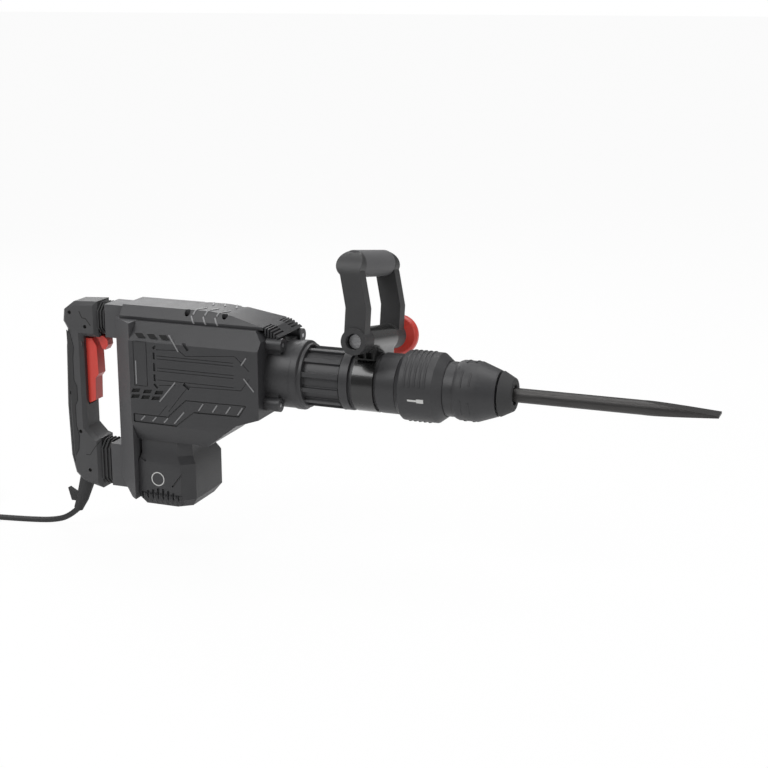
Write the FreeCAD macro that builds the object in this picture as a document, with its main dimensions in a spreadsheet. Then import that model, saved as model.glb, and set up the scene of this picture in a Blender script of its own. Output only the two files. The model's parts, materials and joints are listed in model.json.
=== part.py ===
import FreeCAD, Part
import math
import os
import Sketcher
from FreeCAD import Placement, Rotation, Vector

# Electric demolition hammer. +X runs along the tool axis towards the chisel, +Y is the tool's
# left, +Z is up, and the origin lies on the tool axis at the front of the dust cap.
# Names that end in _at are distances behind the origin, so their place is at minus the value.

DRIVING_SIZES = [
    ("chisel_radius", 9, "hexless SDS-max shank radius"),
    ("chisel_reach", 248, "from the dust cap to the cutting edge"),
    ("chisel_blade", 90, "length of the forged flat blade"),
    ("chisel_edge", 24, "width of the cutting edge"),
    ("chisel_edge_thick", 2.5, "thickness of the cutting edge"),
    ("shank_at", 100, "rear end of the shank in the tool holder"),
    ("groove_long", 42, "closed roller groove along the shank"),
    ("running_gap", 0.05, "radial clearance of a running fit"),
    ("free_gap", 0.4, "clearance between pieces that pass each other"),
    ("seat_gap", 0.3, "clearance between pieces that only meet"),
    ("holder_radius", 16, "outside of the tool holder tube"),
    ("holder_back_at", 190, "rear end of the tool holder tube"),
    ("holder_front_at", 3, "front end of the tool holder tube"),
    ("cap_radius", 20.3, "front face of the dust cap"),
    ("cap_back_radius", 28.7, "rear edge of the dust cap"),
    ("cap_long", 16, "length of the dust cap"),
    ("cap_mouth", 12.5, "opening of the dust cap"),
    ("sleeve_radius", 37.6, "locking sleeve, largest"),
    ("sleeve_front_at", 18.5, "front of the locking sleeve"),
    ("sleeve_cone_at", 43.5, "where the sleeve's cone ends"),
    ("sleeve_bevel_at", 66.5, "where the sleeve's rear bevel starts"),
    ("sleeve_back_at", 71, "rear edge of the locking sleeve"),
    ("nose_radius", 34.5, "nose housing inside the mode ring"),
    ("nose_front_at", 60, "front face of the nose housing"),
    ("ring_front_at", 83.5, "front edge of the mode ring"),
    ("ring_cone_at", 94.5, "where the mode ring's cone ends"),
    ("ring_bevel_at", 138, "where the mode ring's rear bevel starts"),
    ("ring_back_at", 144.5, "rear edge of the mode ring"),
    ("ring_radius", 44.2, "mode ring, largest"),
    ("collar_radius", 38.3, "smooth collar behind the mode ring"),
    ("barrel_front_at", 169.5, "joint between nose housing and barrel"),
    ("band_front_at", 173.5, "front edge of the clamp band"),
    ("band_back_at", 201.5, "rear edge of the clamp band"),
    ("band_radius", 38.5, "outside of the clamp band"),
    ("band_seat_radius", 35, "barrel surface under the clamp band"),
    ("flange_front_at", 207.5, "front flange of the ribbed barrel"),
    ("ribs_front_at", 219.5, "front end of the barrel ribs"),
    ("ribs_back_at", 269.5, "rear end of the barrel ribs"),
    ("lug_front_at", 296.5, "front face of the gear housing's screw lugs"),
    ("barrel_back_at", 284.5, "rear face of the barrel's rear flange"),
    ("barrel_radius", 34.5, "barrel between its ribs"),
    ("rib_height", 4.6, "height of the barrel ribs"),
    ("barrel_ribs", 12, "number of barrel ribs"),
    ("flange_radius", 45, "rear flange of the barrel"),
    ("cylinder_radius", 24, "bore of the hammer cylinder"),
    ("cylinder_wall", 4, "wall of the hammer cylinder"),
    ("cylinder_back_at", 374, "open rear end of the hammer cylinder"),
    ("cylinder_front_at", 215, "front end of the hammer cylinder"),
    ("bolt_radius", 12, "impact bolt"),
    ("bolt_back_at", 176, "rear end of the impact bolt"),
    ("striker_long", 30, "guided length of the striker"),
    ("striker_back_at", 262, "rear face of the striker at rest"),
    ("piston_crown_at", 300, "front face of the piston"),
    ("piston_skirt_at", 369, "rear edge of the piston skirt"),
    ("gearcase_back_at", 346, "rear face of the gear housing's spigot"),
    ("shell_front_at", 318, "front face of the side shells"),
    ("shell_back_at", 503, "rear face of the side shells"),
    ("shell_half", 62, "half the width over the side shells"),
    ("shell_wall", 3.5, "wall of the plastic shells"),
    ("shell_top", 62, "top of the side shells"),
    ("waist_level", 96, "how far the side shells reach below the axis"),
    ("rear_face_at", 540, "rear face of the rear cover"),
    ("rear_half", 30, "half the width of the rear cover's rear face"),
    ("stub_at", 563, "rear end of the handle stubs"),
    ("cover_top", 79, "top of the top cover"),
    ("cover_half", 36, "half the width of the top cover"),
    ("pot_half", 50, "half the width of the motor pot"),
    ("pot_front_at", 424, "front face of the motor pot"),
    ("pot_level", 187, "how far the motor pot reaches below the axis"),
    ("pot_wall", 3.5, "wall of the motor pot"),
    ("motor_at", 466, "motor axis behind the origin"),
    ("stator_radius", 34.5, "outside of the stator"),
    ("stator_bore", 24, "bore of the stator"),
    ("rotor_radius", 23.4, "outside of the rotor"),
    ("shaft_radius", 5, "motor shaft"),
    ("gear_module", 1.5, "module of the crank drive"),
    ("pinion_teeth", 8, "teeth of the motor pinion"),
    ("gear_teeth", 34, "teeth of the crank gear"),
    ("crank_throw", 13, "crank pin from the crank axis"),
    ("rod_long", 84, "connecting rod between its eyes"),
    ("handle_rear_at", 630, "rear of the grip"),
    ("grip_deep", 30, "depth of the grip, front to back"),
    ("handle_half", 20, "half the width of the rear handle"),
    ("handle_wall", 4, "wall of the handle shells"),
    ("handle_top", 77, "top of the rear handle"),
    ("handle_bottom", 185, "how far the rear handle reaches below the axis"),
    ("upper_joint_at", 576, "front face of the handle's upper arm"),
    ("lower_joint_at", 580, "front face of the handle's lower arm"),
    ("opening_top", 32, "top of the finger opening"),
    ("opening_bottom", 112, "bottom of the finger opening, below the axis"),
    ("rod_radius", 6, "guide rods of the rear handle"),
    ("trigger_long", 92, "length of the trigger"),
    ("trigger_half", 9, "half the width of the trigger"),
    ("pivot_height", 54, "side handle's pivot above the tool axis"),
    ("pivot_at", 188, "side handle's pivot behind the origin"),
    ("side_roll", 9, "roll of the side handle about the tool axis"),
    ("hub_radius", 16.5, "middle hub of the side handle's clamp"),
    ("hub_half", 43, "half the length of the middle hub"),
    ("arm_radius", 16.5, "eye at the foot of each side handle arm"),
    ("arm_thick", 18.5, "thickness of a side handle arm"),
    ("arm_wide", 27, "width of a side handle arm"),
    ("side_grip_height", 148, "side handle's grip above the tool axis"),
    ("side_grip_lean", 13, "how far the grip stands behind the pivot"),
    ("side_grip_radius", 17, "side handle's grip sleeve"),
    ("through_bolt_radius", 5, "bolt through the side handle's pivot"),
    ("knob_radius", 27, "red clamping knob"),
    ("knob_long", 31, "length of the clamping knob"),
    ("cord_radius", 4, "mains cord"),
    ("coil_radius", 44, "coil of spare cord, at the middle of its turns"),
    ("coil_wide", 32, "width of the coil's bundle"),
    ("coil_tall", 32, "height of the coil's bundle"),
    ("floor_level", 254, "surface that the cord lies on, below the axis"),
]

doc = FreeCAD.newDocument("DemolitionHammer")
sheet = doc.addObject("Spreadsheet::Sheet", "Sizes")
for row, (alias, value, meaning) in enumerate(DRIVING_SIZES, 1):
    sheet.set(f"A{row}", meaning)
    sheet.set(f"B{row}", str(value))
    sheet.setAlias(f"B{row}", alias)
doc.recompute()


class Size:
    """A length, kept both as a number and as the sheet expression that gives it."""

    def __init__(self, text, value):
        self.text = text
        self.value = value

    def joined(self, sign, other):
        other = as_size(other)
        results = {
            "+": self.value + other.value,
            "-": self.value - other.value,
            "*": self.value * other.value,
            "/": self.value / other.value if other.value else 0.0,
        }
        return Size(f"({self.text} {sign} {other.text})", results[sign])

    def __add__(self, other):
        return self.joined("+", other)

    def __radd__(self, other):
        return as_size(other).joined("+", self)

    def __sub__(self, other):
        return self.joined("-", other)

    def __rsub__(self, other):
        return as_size(other).joined("-", self)

    def __mul__(self, other):
        return self.joined("*", other)

    def __rmul__(self, other):
        return self.joined("*", other)

    def __truediv__(self, other):
        return self.joined("/", other)

    def __neg__(self):
        return Size(f"(0 - {self.text})", -self.value)

    def __float__(self):
        return float(self.value)


def as_size(number):
    if isinstance(number, Size):
        return number
    return Size(f"({float(number):.6g})", float(number))


class Sizes:
    """Gives every cell of the sheet by its alias."""

    def __getattr__(self, alias):
        return Size(f"Sizes.{alias}", float(getattr(sheet, alias)))


s = Sizes()
pieces = {}


def keep(name, obj):
    """Names a finished sub-part, which becomes one file."""
    obj.Label = name
    pieces[name] = obj
    return obj


def bind(obj, prop, size):
    obj.setExpression(prop, as_size(size).text)


def solid_of(name, shape, placement=None):
    """A sub-part whose shape comes from Part's own functions."""
    obj = doc.addObject("Part::Feature", name)
    obj.Shape = shape
    if placement is not None:
        obj.Placement = placement
    return keep(name, obj)


# Turned pieces: stacks of cylinders and cones about one axis, bound to the sheet.

TURN_TO_X = Rotation(Vector(0, 1, 0), 90)
TURN_TO_Y = Rotation(Vector(1, 0, 0), -90)
UPRIGHT = Rotation()


def stage(name, start, near, end, far, turn, base):
    """One cylinder or cone between two stations of an axis."""
    near, far = as_size(near), as_size(far)
    if near.text == far.text:
        obj = doc.addObject("Part::Cylinder", name)
        bind(obj, "Radius", near)
    else:
        obj = doc.addObject("Part::Cone", name)
        bind(obj, "Radius1", near)
        bind(obj, "Radius2", far)
    bind(obj, "Height", end - start)
    obj.Placement = Placement(Vector(), turn)
    stations = {"x": base[0], "y": base[1], "z": base[2]}
    along = "x" if turn is TURN_TO_X else "y" if turn is TURN_TO_Y else "z"
    stations[along] = start
    for letter, place in stations.items():
        bind(obj, f"Placement.Base.{letter}", place)
    return obj


def stack(name, profile, turn, base):
    """A fused stack of stages from a profile of (station, radius) pairs."""
    stages = []
    for (start, near), (end, far) in zip(profile, profile[1:]):
        start, end = as_size(start), as_size(end)
        if start.text == end.text:
            continue
        stages.append(stage(f"{name}_stage", start, near, end, far, turn, base))
    if len(stages) == 1:
        return stages[0]
    fused = doc.addObject("Part::MultiFuse", f"{name}_stack")
    fused.Shapes = stages
    return fused


def turned(name, profile, bore=(), turn=TURN_TO_X, base=(0, 0, 0), cutters=()):
    """A turned piece with an optional stepped bore and more cutters."""
    body = stack(name, profile, turn, base)
    tools = list(cutters)
    if bore:
        tools.append(stack(f"{name}_bore", bore, turn, base))
    for count, tool in enumerate(tools):
        cut = doc.addObject("Part::Cut", f"{name}_cut_{count}")
        cut.Base = body
        cut.Tool = tool
        body = cut
    return keep(name, body)


def drilled(name, start, end, radius, turn, base):
    """A plain round cutter."""
    return stage(name, as_size(start), radius, as_size(end), radius, turn, base)


# Outlines: closed polygons, extruded, with bevelled edges where a loft narrows them.


def corner(plane, across, up, depth):
    across, up, depth = float(across), float(up), float(depth)
    if plane == "XZ":
        return Vector(across, depth, up)
    if plane == "YZ":
        return Vector(depth, across, up)
    return Vector(across, up, depth)


def wire_of(plane, outline, depth):
    points = [corner(plane, across, up, depth) for across, up in outline]
    return Part.makePolygon(points + [points[0]])


def inset(outline, amount):
    """The outline moved inwards by an amount, its corners kept sharp."""
    face = Part.Face(wire_of("XY", outline, 0))
    moved = face.makeOffset2D(-float(amount), join=2)
    return [(v.Point.x, v.Point.y) for v in moved.Wires[0].OrderedVertexes]


def prism(plane, outline, start, end):
    start, end = float(start), float(end)
    axis = {"XZ": Vector(0, 1, 0), "YZ": Vector(1, 0, 0), "XY": Vector(0, 0, 1)}[plane]
    return Part.Face(wire_of(plane, outline, start)).extrude(axis * (end - start))


def bevelled(plane, outline, start, end, amount):
    """An extruded outline whose face at end is narrower all round by amount."""
    start, end, amount = float(start), float(end), float(amount)
    shoulder = end - math.copysign(amount, end - start)
    narrow = inset(outline, amount)
    if len(narrow) != len(outline):
        return prism(plane, outline, start, end)
    first = min(range(len(narrow)), key=lambda i: math.dist(narrow[i], floats(outline[0])))
    narrow = narrow[first:] + narrow[:first]
    if turns_left(narrow) != turns_left([floats(p) for p in outline]):
        narrow = [narrow[0]] + narrow[:0:-1]
    top = Part.makeLoft([wire_of(plane, outline, shoulder), wire_of(plane, narrow, end)], True, True)
    return prism(plane, outline, start, shoulder).fuse(top).removeSplitter()


def floats(point):
    return (float(point[0]), float(point[1]))


def turns_left(outline):
    area = sum(a[0] * b[1] - b[0] * a[1] for a, b in zip(outline, outline[1:] + outline[:1]))
    return area > 0


def box_shape(low, high):
    low = Vector(*[float(v) for v in low])
    high = Vector(*[float(v) for v in high])
    return Part.makeBox(high.x - low.x, high.y - low.y, high.z - low.z, low)


def round_bar(radius, start, end):
    """A cylinder between two points."""
    start = Vector(*[float(v) for v in start])
    end = Vector(*[float(v) for v in end])
    return Part.makeCylinder(float(radius), (end - start).Length, start, end - start)


def sketched(name, outline, half, plane_role="XZ_Plane", centre=0):
    """A PartDesign body: one sketched outline padded both ways from its plane."""
    body = doc.addObject("PartDesign::Body", name)
    sketch = body.newObject("Sketcher::SketchObject", f"{name}_outline")
    plane = next(f for f in body.Origin.OriginFeatures if f.Role == plane_role)
    sketch.AttachmentSupport = [(plane, "")]
    sketch.MapMode = "FlatFace"
    doc.recompute()
    points = [Vector(float(x), float(z), 0) for x, z in outline]
    for near, far in zip(points, points[1:] + points[:1]):
        sketch.addGeometry(Part.LineSegment(near, far), False)
    count = len(points)
    for i in range(count):
        sketch.addConstraint(Sketcher.Constraint("Coincident", i, 2, (i + 1) % count, 1))
    for i, (across, up) in enumerate(outline):
        for kind, size in (("DistanceX", across), ("DistanceY", up)):
            size = as_size(size)
            index = sketch.addConstraint(Sketcher.Constraint(kind, -1, 1, i, 1, size.value))
            sketch.setExpression(f"Constraints[{index}]", size.text)
    pad = body.newObject("PartDesign::Pad", f"{name}_pad")
    pad.Profile = sketch
    pad.Midplane = True
    bind(pad, "Length", half * 2)
    body.Tip = pad
    bind(body, "Placement.Base.y", centre)
    return keep(name, body)


# Chisel: round shank with two closed roller grooves, forged into a flat blade.

blade_start = s.chisel_reach - s.chisel_blade
blade_side = [
    (blade_start - s.chisel_radius, s.chisel_radius * 1.2),
    (blade_start, s.chisel_radius),
    (s.chisel_reach, s.chisel_edge_thick / 2),
    (s.chisel_reach, -s.chisel_edge_thick / 2),
    (blade_start, -s.chisel_radius),
    (blade_start - s.chisel_radius, -s.chisel_radius * 1.2),
]
flare = Part.makeCone(
    float(s.chisel_radius),
    float(s.chisel_edge / 2),
    float(s.chisel_blade),
    Vector(float(blade_start), 0, 0),
    Vector(1, 0, 0),
)
blade = prism("XZ", blade_side, -s.chisel_edge, s.chisel_edge).common(flare)
shank = round_bar(s.chisel_radius, (-s.shank_at, 0, 0), (blade_start, 0, 0))
groove_start = -s.shank_at + 20
groove_floor = s.chisel_radius - 2.6
for side in (-1, 1):
    low = side * float(groove_floor)
    high = side * float(s.chisel_radius + 1)
    groove = box_shape((groove_start, min(low, high), -5), (groove_start + s.groove_long, max(low, high), 5))
    shank = shank.cut(groove)
solid_of("flat_chisel", shank.fuse(blade).removeSplitter())

# Chuck: tool holder tube, lock rollers, lock ring, locking sleeve, spring and dust cap.

roller_radius = 4
roller_half = 9
roller_at = s.shank_at - 20 - s.groove_long + roller_half + 3
roller_offset = groove_floor + roller_radius + 0.3
holder = round_bar(s.holder_radius, (-s.holder_back_at, 0, 0), (-s.holder_front_at, 0, 0))
holder = holder.cut(
    round_bar(s.chisel_radius + s.running_gap, (-s.shank_at, 0, 0), (0, 0, 0))
)
holder = holder.cut(
    round_bar(s.bolt_radius + s.running_gap, (-s.holder_back_at, 0, 0), (-s.shank_at, 0, 0))
)
window_half = roller_half + s.free_gap
window = box_shape(
    (-roller_at - window_half, -s.holder_radius - 1, -roller_radius - s.free_gap),
    (-roller_at + window_half, s.holder_radius + 1, roller_radius + s.free_gap),
)
solid_of("tool_holder", holder.cut(window))
rollers = [
    round_bar(
        roller_radius,
        (-roller_at - roller_half, side * float(roller_offset), 0),
        (-roller_at + roller_half, side * float(roller_offset), 0),
    )
    for side in (-1, 1)
]
solid_of("lock_rollers", Part.makeCompound(rollers))
lock_ring_inner = s.holder_radius + s.running_gap
ring_outer = s.holder_radius + 3.5
turned(
    "lock_ring",
    [(-roller_at - 11, ring_outer), (-roller_at + 11, ring_outer)],
    [(-roller_at - 12, lock_ring_inner), (-roller_at + 12, lock_ring_inner)],
)
cap_bore = s.holder_radius + s.running_gap
turned(
    "dust_cap",
    [(-s.cap_long, s.cap_back_radius), (as_size(0), s.cap_radius)],
    [(-s.cap_long - 1, cap_bore), (-s.holder_front_at, cap_bore), (-s.holder_front_at, s.cap_mouth),
     (as_size(1), s.cap_mouth)],
)
sleeve_inner = s.nose_radius + s.free_gap
sleeve_web = ring_outer + s.free_gap
sleeve_guide = s.holder_radius + s.running_gap
sleeve_rim = s.sleeve_radius - 1.6
turned(
    "locking_sleeve",
    [
        (-s.sleeve_back_at, sleeve_rim),
        (-s.sleeve_bevel_at, s.sleeve_radius),
        (-s.sleeve_cone_at, s.sleeve_radius),
        (-s.sleeve_front_at, s.cap_back_radius),
    ],
    [
        (-s.sleeve_back_at - 1, sleeve_inner),
        (-s.sleeve_cone_at - 4, sleeve_inner),
        (-s.sleeve_cone_at - 4, sleeve_web),
        (-s.sleeve_front_at - 6, sleeve_web),
        (-s.sleeve_front_at - 6, sleeve_guide),
        (-s.sleeve_front_at + 1, sleeve_guide),
    ],
)

# Nose housing: runs through the mode ring and ends in the smooth collar.

nose_bore = s.holder_radius + s.running_gap
turned(
    "nose_housing",
    [
        (-s.barrel_front_at, s.collar_radius),
        (-s.ring_back_at - s.seat_gap, s.collar_radius),
        (-s.ring_back_at - s.seat_gap, s.nose_radius),
        (-s.nose_front_at, s.nose_radius),
    ],
    [
        (-s.barrel_front_at - 1, nose_bore),
        (-s.nose_front_at - 22, nose_bore),
        (-s.nose_front_at - 22, sleeve_web),
        (-s.nose_front_at + 1, sleeve_web),
    ],
)
ring_bore = s.nose_radius + s.running_gap
ring_rim = s.collar_radius + 0.4
turned(
    "mode_ring",
    [
        (-s.ring_back_at, ring_rim),
        (-s.ring_bevel_at, s.ring_radius),
        (-s.ring_cone_at, s.ring_radius),
        (-s.ring_front_at, s.nose_radius + 1.2),
    ],
    [(-s.ring_back_at - 1, ring_bore), (-s.ring_front_at + 1, ring_bore)],
)

# Barrel: ribbed casting between the gear housing and the nose housing.

cylinder_outer = s.cylinder_radius + s.cylinder_wall
barrel_bore = cylinder_outer + s.running_gap


def barrel_shape():
    profile = [
        (s.barrel_back_at, s.flange_radius),
        (s.barrel_back_at - 9, s.flange_radius),
        (s.barrel_back_at - 11, s.flange_radius - 3.5),
        (s.ribs_back_at, s.flange_radius - 3.5),
        (s.ribs_back_at, s.barrel_radius),
        (s.ribs_front_at, s.barrel_radius),
        (s.ribs_front_at, s.barrel_radius + s.rib_height),
        (s.flange_front_at, s.barrel_radius + s.rib_height),
        (s.flange_front_at, s.band_seat_radius),
        (s.barrel_front_at, s.band_seat_radius),
    ]
    edge = [Vector(-float(at), 0, float(radius)) for at, radius in profile]
    ends = [Vector(-float(s.barrel_front_at), 0, 0), Vector(-float(s.barrel_back_at), 0, 0)]
    section = Part.Face(Part.makePolygon(edge + ends + edge[:1]))
    body = section.revolve(Vector(), Vector(1, 0, 0), 360)
    count = int(round(float(s.barrel_ribs)))
    rib = box_shape(
        (-s.ribs_back_at, -3, float(s.barrel_radius) - 4),
        (-s.ribs_front_at, 3, s.barrel_radius + s.rib_height - 0.4),
    )
    ribs = []
    for i in range(count):
        one = rib.copy()
        one.rotate(Vector(), Vector(1, 0, 0), (i + 0.5) * 360 / count)
        ribs.append(one)
    body = body.fuse(ribs).removeSplitter()
    bore = round_bar(barrel_bore, (-s.barrel_back_at, 0, 0), (-s.barrel_front_at, 0, 0))
    return body.cut(bore)


solid_of("barrel", barrel_shape())

# Hammer mechanism inside: cylinder, piston, striker and impact bolt.

turned(
    "hammer_cylinder",
    [(-s.cylinder_back_at, cylinder_outer), (-s.cylinder_front_at, cylinder_outer)],
    [(-s.cylinder_back_at - 1, s.cylinder_radius), (-s.cylinder_front_at + 1, s.cylinder_radius)],
)
piston_radius = s.cylinder_radius - s.running_gap
skirt_inner = s.cylinder_radius - 3
turned(
    "piston",
    [(-s.piston_skirt_at, piston_radius), (-s.piston_crown_at, piston_radius)],
    [(-s.piston_skirt_at - 1, skirt_inner), (-s.piston_crown_at - 7, skirt_inner)],
)
striker_nose = s.bolt_radius - 1
turned(
    "striker",
    [
        (-s.striker_back_at, piston_radius),
        (-s.striker_back_at + s.striker_long, piston_radius),
        (-s.striker_back_at + s.striker_long, striker_nose),
        (-s.bolt_back_at - s.striker_long + 1, striker_nose),
    ],
)
turned(
    "impact_bolt",
    [(-s.bolt_back_at, s.bolt_radius), (-s.shank_at - 1, s.bolt_radius)],
)

# Motor, standing upright in the pot: stator, rotor, commutator, fan, brushes, bearings.

motor = (-s.motor_at, as_size(0), as_size(0))
shaft_gap = s.shaft_radius + s.running_gap


def upright(name, profile, bore=()):
    """A turned piece on the upright motor axis; stations are heights."""
    return turned(name, profile, bore, UPRIGHT, motor)


floor_inside = -s.pot_level + s.pot_wall
bearing_outer = as_size(14)
lower_bearing_top = floor_inside + 8
upright(
    "lower_bearing",
    [(floor_inside + 0, bearing_outer), (lower_bearing_top, bearing_outer)],
    [(floor_inside - 1, shaft_gap), (lower_bearing_top + 1, shaft_gap)],
)
fan_low = lower_bearing_top + 2
fan_radius = s.stator_radius - 2
fan_hub = as_size(9)
fan_disc = stack("cooling_fan", [(fan_low, fan_radius), (fan_low + 2, fan_radius)], UPRIGHT, motor)
fan_core = stack("cooling_fan", [(fan_low, fan_hub), (fan_low + 9, fan_hub)], UPRIGHT, motor)
vanes = []
FAN_VANES = 12
for i in range(FAN_VANES):
    vane = doc.addObject("Part::Box", "fan_vane")
    bind(vane, "Length", fan_radius - 8)
    vane.Width = 1.6
    bind(vane, "Height", 9)
    angle = i * 360 / FAN_VANES
    vane.Placement = Placement(Vector(), Rotation(Vector(0, 0, 1), angle))
    bind(vane, "Placement.Base.x", motor[0] + 7.5 * math.cos(math.radians(angle)))
    bind(vane, "Placement.Base.y", as_size(7.5 * math.sin(math.radians(angle))))
    bind(vane, "Placement.Base.z", fan_low)
    vanes.append(vane)
fan = doc.addObject("Part::MultiFuse", "cooling_fan_blank")
fan.Shapes = [fan_disc, fan_core] + vanes
fan_hole = drilled("cooling_fan_hole", fan_low - 1, fan_low + 12, shaft_gap, UPRIGHT, motor)
fan_cut = doc.addObject("Part::Cut", "cooling_fan")
fan_cut.Base = fan
fan_cut.Tool = fan_hole
keep("cooling_fan", fan_cut)
stator_low = fan_low + 12
stator_high = stator_low + 36
upright(
    "stator",
    [(stator_low, s.stator_radius), (stator_high, s.stator_radius)],
    [(stator_low - 1, s.stator_bore), (stator_high + 1, s.stator_bore)],
)
upright(
    "rotor_core",
    [(stator_low + 1, s.rotor_radius), (stator_high - 1, s.rotor_radius)],
    [(stator_low, shaft_gap), (stator_high, shaft_gap)],
)
commutator_low = stator_high + 4
commutator_high = commutator_low + 12
commutator_radius = as_size(13)
upright(
    "commutator",
    [(commutator_low, commutator_radius), (commutator_high, commutator_radius)],
    [(commutator_low - 1, shaft_gap), (commutator_high + 1, shaft_gap)],
)
upper_bearing_low = commutator_high + 5
upper_bearing_high = upper_bearing_low + 9
upright(
    "upper_bearing",
    [(upper_bearing_low, bearing_outer), (upper_bearing_high, bearing_outer)],
    [(upper_bearing_low - 1, shaft_gap), (upper_bearing_high + 1, shaft_gap)],
)
brushes = [
    box_shape(
        (-s.motor_at - 4, min(side * 13.3, side * 27.0), commutator_low + 2),
        (-s.motor_at + 4, max(side * 13.3, side * 27.0), commutator_high - 2),
    )
    for side in (-1, 1)
]
solid_of("carbon_brushes", Part.makeCompound(brushes))
holders = []
for side in (-1, 1):
    outer = box_shape(
        (-s.motor_at - 7, min(side * 16.0, side * 33.0), commutator_low - 1),
        (-s.motor_at + 7, max(side * 16.0, side * 33.0), commutator_high + 1),
    )
    inner = box_shape(
        (-s.motor_at - 4.1, min(side * 15.0, side * 28.0), commutator_low + 1.9),
        (-s.motor_at + 4.1, max(side * 15.0, side * 28.0), commutator_high - 1.9),
    )
    holders.append(outer.cut(inner))
solid_of("brush_holders", Part.makeCompound(holders))

# Crank drive: pinion on the motor shaft, crank gear, connecting rod.


def gear_outline(teeth, module, phase, thin):
    """Points of a spur gear with straight flanks; thin takes its backlash off each tooth."""
    pitch = module * teeth / 2
    outer = pitch + 0.9 * module
    root = pitch - 1.2 * module
    points = []
    for i in range(teeth):
        middle = phase + 2 * math.pi * i / teeth
        for offset, radius in ((-0.40, root), (-0.17, outer), (0.17, outer), (0.40, root)):
            angle = middle + offset * thin * 2 * math.pi / teeth
            points.append((radius * math.cos(angle), radius * math.sin(angle)))
    return points


def gear_shape(teeth, module, phase, low, high, centre_x):
    outline = [(x + float(centre_x), y) for x, y in gear_outline(teeth, float(module), phase, 0.86)]
    return prism("XY", outline, low, high)


pinion_count = int(round(float(s.pinion_teeth)))
gear_count = int(round(float(s.gear_teeth)))
GEAR_SLACK = 0.25
centre_distance = s.gear_module * (s.pinion_teeth + s.gear_teeth) / 2 + GEAR_SLACK
crank_x = -s.motor_at + centre_distance
pinion_low = upper_bearing_high + 6
pinion_high = pinion_low + 10
shaft = round_bar(s.shaft_radius, (-s.motor_at, 0, floor_inside + 0.5), (-s.motor_at, 0, pinion_low))
pinion = gear_shape(pinion_count, s.gear_module, 0, pinion_low, pinion_high, -s.motor_at)
solid_of("rotor_shaft", shaft.fuse(pinion).removeSplitter())
gear_low = pinion_low + 1
gear_high = pinion_high - 1
gear_phase = math.pi + math.pi / gear_count
gear = gear_shape(gear_count, s.gear_module, gear_phase, gear_low, gear_high, crank_x)
crank_radius = s.crank_throw + 8
rod_low = -7
disc_low = as_size(rod_low - 11)
crank_shaft = round_bar(9, (crank_x, 0, gear_high), (crank_x, 0, disc_low))
crank_disc = round_bar(crank_radius, (crank_x, 0, disc_low), (crank_x, 0, disc_low + 9))
crank_pin = round_bar(6, (crank_x + s.crank_throw, 0, disc_low + 9), (crank_x + s.crank_throw, 0, 10))
solid_of("crank_gear", gear.fuse([crank_shaft, crank_disc, crank_pin]).removeSplitter())
pin_x = crank_x + s.crank_throw
wrist_x = pin_x + s.rod_long
rod_body = round_bar(11, (pin_x, 0, rod_low), (pin_x, 0, -rod_low))
rod_body = rod_body.fuse(round_bar(6, (wrist_x, 0, rod_low), (wrist_x, 0, -rod_low)))
rod_body = rod_body.fuse(box_shape((pin_x, -4.5, rod_low), (wrist_x, 4.5, -rod_low)))
rod_body = rod_body.cut(round_bar(6 + s.running_gap, (pin_x, 0, -20), (pin_x, 0, 20)))
rod_body = rod_body.cut(round_bar(3 + s.running_gap, (wrist_x, 0, -20), (wrist_x, 0, 20)))
solid_of("connecting_rod", rod_body.removeSplitter())
solid_of("wrist_pin", round_bar(3, (wrist_x, 0, rod_low - 1), (wrist_x, 0, 1 - rod_low)))
crank_bearing_low = gear_high + 3
crank_bearing_high = disc_low - 3
bearing_bore = as_size(9) + s.running_gap
crank_centre = (crank_x, as_size(0), as_size(0))
turned(
    "crank_bearing",
    [(crank_bearing_low, as_size(16)), (crank_bearing_high, as_size(16))],
    [(crank_bearing_low - 1, bearing_bore), (crank_bearing_high + 1, bearing_bore)],
    UPRIGHT,
    crank_centre,
)

# Gear housing: spigot inside the shells, round neck and four screw lugs in front of them.

LUG_PLACES = [(-31, 44), (31, 44), (-40, -32), (40, -32)]
lug_radius = 9
lug_hole = 3.6


def gear_housing_shape():
    neck_radius = s.flange_radius - 1
    neck = round_bar(neck_radius, (-s.gearcase_back_at, 0, 0), (-s.barrel_back_at, 0, 0))
    lugs = []
    for y, z in LUG_PLACES:
        lug = round_bar(lug_radius, (-s.shell_front_at + s.seat_gap, y, z), (-s.lug_front_at, y, z))
        web = box_shape(
            (-s.shell_front_at + s.seat_gap, min(0, y) if y < 0 else 0, min(0, z) if z < 0 else 0),
            (-s.lug_front_at - 4, max(0, y) if y > 0 else 0, max(0, z) if z > 0 else 0),
        )
        lugs += [lug, web]
    body = neck.fuse(lugs).removeSplitter()
    bore = round_bar(barrel_bore, (-s.gearcase_back_at, 0, 0), (-s.barrel_back_at, 0, 0))
    body = body.cut(bore)
    for y, z in LUG_PLACES:
        body = body.cut(round_bar(lug_hole, (-s.shell_front_at - 1, y, z), (0, y, z)))
    return body


solid_of("gear_housing", gear_housing_shape())
screws = []
for y, z in LUG_PLACES:
    head = round_bar(5.5, (-s.shell_front_at + 1, y, z), (-s.shell_front_at + 7, y, z))
    screws.append(head.fuse(round_bar(3, (-s.shell_front_at + 7, y, z), (-s.lug_front_at, y, z))))
pockets = [
    round_bar(5.5 + s.running_gap, (-s.shell_front_at, y, z), (-s.shell_front_at + 7, y, z))
    for y, z in LUG_PLACES
]
gear_housing = pieces["gear_housing"]
gear_housing.Shape = gear_housing.Shape.cut(pockets)
solid_of("housing_screws", Part.makeCompound(screws))

# Side shells: two clamshell halves that meet on the tool's middle plane.


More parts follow.
